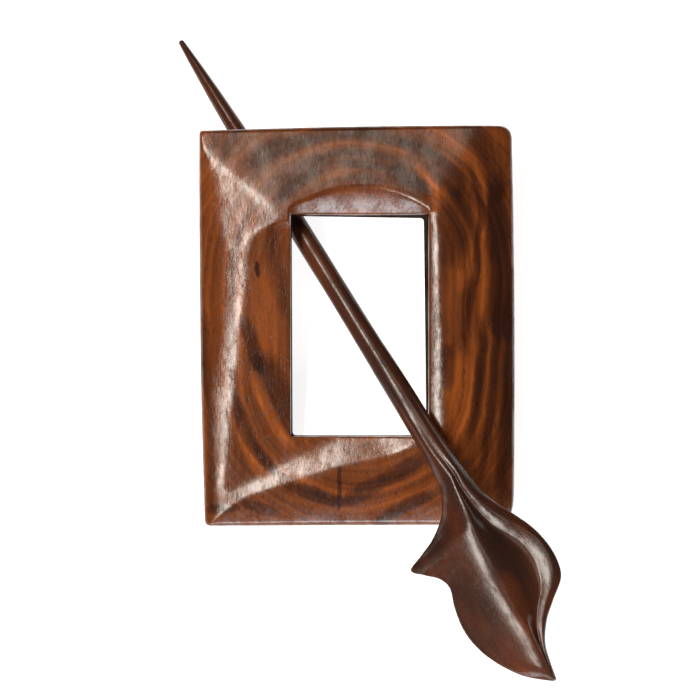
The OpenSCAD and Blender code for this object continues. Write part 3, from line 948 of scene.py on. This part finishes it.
    def build(self, place: Place) -> None:
        """Builds the frame.

        Args:
            place: Where the pin lies.
        """
        self.lying = place.lying
        self.piece = skin("carved_frame", self.rings(), self.lying, closed=True)
        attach(self.piece, "frame")
        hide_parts("frame")

    def dress(self, finish: Rosewood) -> None:
        """Gives the frame its wood."""
        self.piece.data.materials.append(finish.material(self.lying, self.window_box()))


@dataclass(frozen=True)
class ShaftRow:
    """A section of the round shaft, in shaft lengths and diameters, and how far it has the leaf's faces.

    drift is how far it lies to the upper right of a straight line.
    """

    along: float
    width: float
    drift: float
    carved: float = 0.0


@dataclass(frozen=True)
class LeafRow:
    """A section of the leaf. Places along and across are in its length and width, and heights in its thickness.

    left_h is how far the left edge is turned up, and hollow_h the height between midrib and rim.
    """

    along: Measure
    left: Measure
    right: Measure
    rib: Measure
    rim: Measure
    left_h: Measure
    rib_h: Measure
    hollow_h: Measure
    rim_h: Measure
    back_h: Measure


@dataclass(frozen=True)
class Section(LeafRow):
    """Sections of the stick in metres, an array to each column, and how far each has the leaf's faces."""

    carved: Array

    @property
    def middle(self) -> Array:
        """Returns the places halfway between the edges."""
        return (self.left + self.right) / 2


@dataclass
class LeafStick:
    """The loose stick. Its own x runs from the point to the leaf, y to the upper right and z out of its front.

    rim_soft and rib_soft round the hollow and the midrib. The ridge, side and hollow of the shaft are in radii.
    turns are where midrib, hollow and rim lie on the round shaft, in degrees from its right edge.
    """

    shaft_l: float = 105.0 * MM
    shaft_d: float = 4.5 * MM
    point_r: float = 0.5 * MM
    leaf_l: float = 43.8 * MM
    leaf_w: float = 24.4 * MM
    leaf_t: float = 5.2 * MM
    leaf_edge: float = 0.8 * MM
    rim_soft: float = 5.2 * MM
    rib_soft: float = 3.0 * MM
    tip_r: float = 0.35 * MM
    point_reach: float = 43.8 * MM
    dip_share: float = 0.6
    bevel_curve: float = 1.7
    back_curve: float = 1.2
    shaft_ridge: Pair = (0.95, 0.03)
    shaft_side: float = 0.31
    shaft_hollow: float = 0.06
    turns: tuple[float, float, float] = (108.0, 90.0, 72.0)
    edge_turn: float = 6.0
    shaft: tuple[ShaftRow, ...] = tuple(ShaftRow(*row) for row in (
        (0.000, 0.24, -0.016),
        (0.043, 0.38, -0.018),
        (0.083, 0.49, -0.016),
        (0.162, 0.67, -0.024),
        (0.290, 0.85, -0.020),
        (0.420, 0.94, -0.020),
        (0.600, 0.97, -0.050),
        (0.700, 1.01, -0.080),
        (0.790, 1.09, -0.090, 0.3),
        (0.930, 1.15, -0.130, 0.8),
    ))
    leaf: tuple[LeafRow, ...] = tuple(LeafRow(*row) for row in (
        (0.00, -0.145, 0.092, -0.030, 0.028, 0.000, 0.442, 0.394, 0.433, 0.426),
        (0.06, -0.183, 0.097, -0.045, 0.026, 0.000, 0.471, 0.363, 0.402, 0.394),
        (0.11, -0.235, 0.104, -0.056, 0.034, 0.000, 0.508, 0.316, 0.363, 0.363),
        (0.15, -0.300, 0.121, -0.066, 0.048, 0.000, 0.544, 0.276, 0.331, 0.347),
        (0.20, -0.430, 0.152, -0.080, 0.070, 0.000, 0.600, 0.240, 0.296, 0.339),
        (0.23, -0.560, 0.175, -0.090, 0.086, 0.000, 0.638, 0.217, 0.279, 0.331),
        (0.26, -0.690, 0.201, -0.101, 0.107, 0.000, 0.667, 0.202, 0.264, 0.331),
        (0.31, -0.622, 0.242, -0.120, 0.152, 0.073, 0.686, 0.188, 0.247, 0.323),
        (0.36, -0.538, 0.280, -0.132, 0.210, 0.183, 0.692, 0.173, 0.229, 0.316),
        (0.42, -0.505, 0.312, -0.146, 0.265, 0.213, 0.694, 0.157, 0.213, 0.316),
        (0.50, -0.551, 0.329, -0.160, 0.288, 0.143, 0.687, 0.150, 0.205, 0.307),
        (0.58, -0.582, 0.316, -0.168, 0.256, 0.063, 0.678, 0.157, 0.213, 0.300),
        (0.64, -0.586, 0.268, -0.170, 0.190, 0.023, 0.669, 0.166, 0.213, 0.292),
        (0.70, -0.570, 0.130, -0.163, 0.070, 0.000, 0.652, 0.173, 0.209, 0.276),
        (0.76, -0.538, 0.003, -0.158, -0.030, 0.000, 0.625, 0.181, 0.207, 0.253),
        (0.84, -0.468, -0.100, -0.166, -0.115, 0.000, 0.557, 0.189, 0.213, 0.220),
        (0.92, -0.365, -0.145, -0.178, -0.158, 0.000, 0.426, 0.197, 0.205, 0.189),
        (1.00, -0.203, -0.176, -0.192, -0.184, 0.000, 0.173, 0.142, 0.150, 0.119),
    ))
    wing_steps: int = 16
    hollow_steps: int = 9
    bevel_steps: int = 8
    back_steps: int = 20
    point_steps: int = 7
    shaft_steps: int = 210
    leaf_steps: int = 240
    piece: bpy.types.Object = field(init=False)
    lying: Matrix = field(init=False)

    def __post_init__(self) -> None:
        """Works out the rows of both tables in metres."""
        rows = [self._shaft_row(row) for row in self.shaft] + [self._leaf_row(row) for row in self.leaf]
        self.rows = np.array(rows)

    def _shaft_row(self, row: ShaftRow) -> list[float]:
        """Gives a row of the shaft in metres.

        Args:
            row: The row.

        Returns:
            The columns of a section.
        """
        r, drift = row.width * self.shaft_d / 2, row.drift * self.shaft_d
        side, ridge = self.shaft_side * r, (self.shaft_ridge[0] + self.shaft_ridge[1] * row.carved) * r
        across = [drift - r, drift + r, drift - side, drift + side]
        heights = [self.leaf_edge / 2, ridge, (1 - self.shaft_hollow * row.carved) * r, ridge, r]
        return [row.along * self.shaft_l, *across, *heights, row.carved]

    def _leaf_row(self, row: LeafRow) -> list[float]:
        """Gives a row of the leaf in metres.

        Args:
            row: The row.

        Returns:
            The columns of a section.
        """
        along, *shares_across = astuple(row)[:5]
        across = [share * self.leaf_w for share in shares_across]
        heights = [share * self.leaf_t for share in astuple(row)[5:]]
        heights[0] += self.leaf_edge / 2
        return [self.shaft_l + along * self.leaf_l, *across, *heights, 1.0]

    def section_at(self, s: Array) -> Section:
        """Gives the section anywhere along the stick, by a smooth curve through the rows.

        Args:
            s: Distances from the point.

        Returns:
            The sections at those distances.
        """
        along, every = self.rows[:, 0], np.arange(len(self.rows))
        before, after = np.maximum(every - 1, 0), np.minimum(every + 1, every[-1])
        slopes = (self.rows[after] - self.rows[before]) / (along[after] - along[before])[:, None]
        i = np.clip(np.searchsorted(along, s, side="right") - 1, 0, every[-2])
        gap = (along[i + 1] - along[i])[:, None]
        t = (s - along[i])[:, None] / gap
        bends = (t**3 - 2 * t**2 + t) * gap * slopes[i] + (t**3 - t**2) * gap * slopes[i + 1]
        return Section(*(mix(self.rows[i], self.rows[i + 1], 3 * t**2 - 2 * t**3) + bends).T)

    def _wing_fall(self, aside: Array) -> Array:
        """Returns how far the wing falls at a distance from the midrib, before its height is set."""
        return np.hypot(aside, self.rib_soft) - self.rib_soft

    def _front_tracks(self, c: Section) -> list[tuple[float, Array, Array]]:
        """Goes over the front of a section, from its left edge to its right edge.

        Args:
            c: The sections.

        Returns:
            For each point its turn on the round shaft, in degrees, and its place across and height on the leaf.
        """
        wing, run = c.rib - c.left, self.dip_share * (c.rim - c.rib)
        dip = c.rim - run * self.rim_soft / (run + self.rim_soft)
        at_rib, at_dip, at_rim = self.turns
        tracks: list[tuple[float, Array, Array]] = []
        for t in shares(self.wing_steps):
            drop = self._wing_fall((1 - t) * wing) / self._wing_fall(wing)
            turn = mix(180 - self.edge_turn, at_rib, t)
            tracks.append((turn, mix(c.left, c.rib, t), mix(c.rib_h, c.left_h, drop)))
        for t in shares(self.hollow_steps):
            falling = (1 - math.cos(math.pi * t)) / 2
            tracks.append((mix(at_rib, at_dip, t), mix(c.rib, dip, t), mix(c.rib_h, c.hollow_h, falling)))
        for t in shares(self.hollow_steps):
            rising = math.sin(math.pi / 2 * t)
            tracks.append((mix(at_dip, at_rim, t), mix(dip, c.rim, t), mix(c.hollow_h, c.rim_h, rising)))
        for t in (*shares(self.bevel_steps), 1.0):
            height = mix(c.rim_h, self.leaf_edge / 2, t**self.bevel_curve)
            tracks.append((mix(at_rim, self.edge_turn, t), mix(c.rim, c.right, t), height))
        return tracks

    def sections(self, c: Section) -> Array:
        """Gives the points of sections.

        Args:
            c: The sections.

        Returns:
            Sections, points of a section, and the place across and up of each.
        """
        half = (c.right - c.left) / 2
        points: list[Array] = []
        for degrees, across, height in self._front_tracks(c):
            turn = math.radians(degrees)
            across = mix(c.middle + half * math.cos(turn), across, c.carved)
            points.append(np.column_stack((across, mix(c.hollow_h * math.sin(turn), height, c.carved))))
        for t in (*shares(self.back_steps), 1.0):
            turn = math.radians(mix(self.edge_turn, 180 - self.edge_turn, t))
            carved_depth = mix(self.leaf_edge / 2, c.back_h, math.sin(turn) ** self.back_curve)
            depth = mix(c.back_h * math.sin(turn), carved_depth, c.carved)
            points.append(np.column_stack((c.middle + half * math.cos(turn), -depth)))
        return np.stack(points, axis=1)

    def rings(self) -> Array:
        """Gives the stick's sections, with its point and its leaf's tip rounded off.

        Returns:
            Sections, points of a section and coordinates.
        """
        length = self.shaft_l + self.leaf_l
        turns = np.radians(np.linspace(0, 90, self.point_steps + 2)[1:-1])
        s = np.concatenate((
            self.point_r * (1 - np.cos(turns)),
            np.linspace(self.point_r, self.shaft_l, self.shaft_steps, endpoint=False),
            np.linspace(self.shaft_l, length - self.tip_r, self.leaf_steps + 1),
            length - self.tip_r * (1 - np.sin(turns)),
        ))
        full = np.ones(self.shaft_steps + self.leaf_steps + 1)
        scale = np.concatenate((np.sin(turns), full, np.cos(turns)))[:, None, None]
        c = self.section_at(s)
        centre = np.column_stack((c.middle, np.zeros(len(s))))[:, None, :]
        shrunk = centre + scale * (self.sections(c) - centre)
        return np.concatenate((np.broadcast_to(s[:, None, None], (*shrunk.shape[:2], 1)), shrunk), axis=2)

    def ball(self) -> tuple[Vector, float]:
        """Returns the middle and the radius of the ball of the point."""
        c = self.section_at(np.array((self.point_r,)))
        return Vector((self.point_r, c.middle[0], 0.0)), c.back_h[0]

    def build(self, place: Place, ring: RingFrame) -> None:
        """Builds the stick and lays it under the window's upper left corner.

        Args:
            place: Where the pin lies.
            ring: The frame that it runs through.
        """
        corner = Vector((ring.win_l, ring.win_t, 0.0))
        self.lying = place.stick(corner, self.point_reach, *self.ball())
        self.piece = skin("leaf_stick", self.rings(), self.lying, closed=False)
        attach(self.piece, "stick")
        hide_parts("stick")

    def dress(self, finish: Rosewood) -> None:
        """Gives the stick its wood."""
        self.piece.data.materials.append(finish.material(self.lying))


# Studio


@dataclass(frozen=True)
class Softbox:
    """A soft light, placed by how far it tilts from straight above the frame's face.

    Its tilts, and its width and height as seen from the pin, are in degrees. It is distance metres off.
    """

    name: str
    tilt_right: float
    tilt_up: float
    width: float
    height: float
    radiance: float
    distance: float = 0.9
    colour: Colour = (1.0, 1.0, 1.0)

    def build(self, place: Place) -> None:
        """Hangs the light, facing the middle of the frame.

        Args:
            place: Where the pin lies.
        """
        tilt = Matrix.Rotation(math.radians(self.tilt_right), 4, "Y") @ Matrix.Rotation(
            -math.radians(self.tilt_up), 4, "X"
        )
        wide, high = (2 * self.distance * math.tan(math.radians(a / 2)) for a in (self.width, self.height))
        light = bpy.data.lights.new(self.name, "AREA")
        light.shape = "RECTANGLE"
        light.size, light.size_y = wide, high
        light.energy = self.radiance * wide * high * math.pi
        light.color = self.colour
        lamp = bpy.data.objects.new(self.name, light)
        lamp.matrix_world = place.lying @ tilt @ Matrix.Translation((0.0, 0.0, self.distance))
        bpy.context.scene.collection.objects.link(lamp)


@dataclass
class Studio:
    """The pale table, the lights and the camera."""

    softboxes: tuple[Softbox, ...] = (
        Softbox("strip_left", -23.0, 2.0, 11.0, 64.0, 22.0, colour=(1.0, 0.92, 0.82)),
        Softbox("front_low", -4.0, -62.0, 60.0, 18.0, 11.0, colour=(0.92, 0.96, 1.0)),
        Softbox("back_high", -9.0, 32.0, 24.0, 30.0, 2.5, colour=(1.0, 0.82, 0.66)),
    )
    floor_side: float = 4.0
    floor_colour: Colour = (0.50, 0.50, 0.50)
    floor_glow: float = 0.85
    sky_glow: float = 0.04
    backdrop: float = 0.92
    lens: float = 145.0
    eye: tuple[float, float, float] = (-1.316 * MM, -4.68 * MM, 554.0 * MM)

    def hang_lights(self, place: Place) -> None:
        """Hangs every softbox."""
        for softbox in self.softboxes:
            softbox.build(place)

    def lay_floor(self) -> None:
        """Lays the plain pale table top under the pin."""
        half = self.floor_side / 2
        mesh = bpy.data.meshes.new("table_top")
        corners = [(-half, -half, 0), (half, -half, 0), (half, half, 0), (-half, half, 0)]
        mesh.from_pydata(corners, [], [(0, 1, 2, 3)])
        recipe = Recipe(bpy.data.materials.new("pale_table"))
        inputs = {
            "Base Color": (*self.floor_colour, 1.0),
            "Roughness": 1.0,
            "Specular IOR Level": 0.0,
            "Emission Color": (1.0, 1.0, 1.0, 1.0),
            "Emission Strength": self.floor_glow,
        }
        mesh.materials.append(recipe.finish(recipe.out("ShaderNodeBsdfPrincipled", {}, inputs)))
        floor = bpy.data.objects.new("table_top", mesh)
        bpy.context.scene.collection.objects.link(floor)

    def light_sky(self) -> None:
        """Gives the room a faint glow, and a pale backdrop behind the table."""
        recipe = Recipe(bpy.data.worlds.new("room"))
        seen = recipe.out("ShaderNodeLightPath", {}, {}, "Is Camera Ray")
        inputs = {"Value": seen, "To Min": self.sky_glow, "To Max": self.backdrop}
        strength = recipe.out("ShaderNodeMapRange", {}, inputs, "Result")
        glow = recipe.out("ShaderNodeBackground", {}, {"Strength": strength})
        bpy.context.scene.world = recipe.finish(glow, "ShaderNodeOutputWorld")

    def set_camera(self, place: Place) -> None:
        """Sets the camera straight above the frame's face, and keeps the picture's tones plain.

        Args:
            place: Where the pin lies.
        """
        data = bpy.data.cameras.new("camera")
        data.lens = self.lens
        camera = bpy.data.objects.new("camera", data)
        camera.matrix_world = place.lying @ Matrix.Translation(self.eye)
        bpy.context.scene.collection.objects.link(camera)
        bpy.context.scene.camera = camera
        bpy.context.scene.view_settings.view_transform = "Standard"


def main() -> None:
    """Builds the pin and its studio."""
    logging.basicConfig(level=logging.INFO, format="%(name)s: %(message)s")
    ring, stick, studio = RingFrame(), LeafStick(), Studio()
    place = Place.from_record(frame["record"], frame["joints"], ring.window_middle())
    ring.build(place)
    ring.dress(FRAME_ROSEWOOD)
    stick.build(place, ring)
    stick.dress(STICK_ROSEWOOD)
    for part in (ring, stick):
        LOG.info("%s has %d faces", part.piece.name, len(part.piece.data.polygons))
    studio.hang_lights(place)
    studio.lay_floor()
    studio.light_sky()
    studio.set_camera(place)
    bpy.context.view_layer.update()


if __name__ == "__main__":
    main()
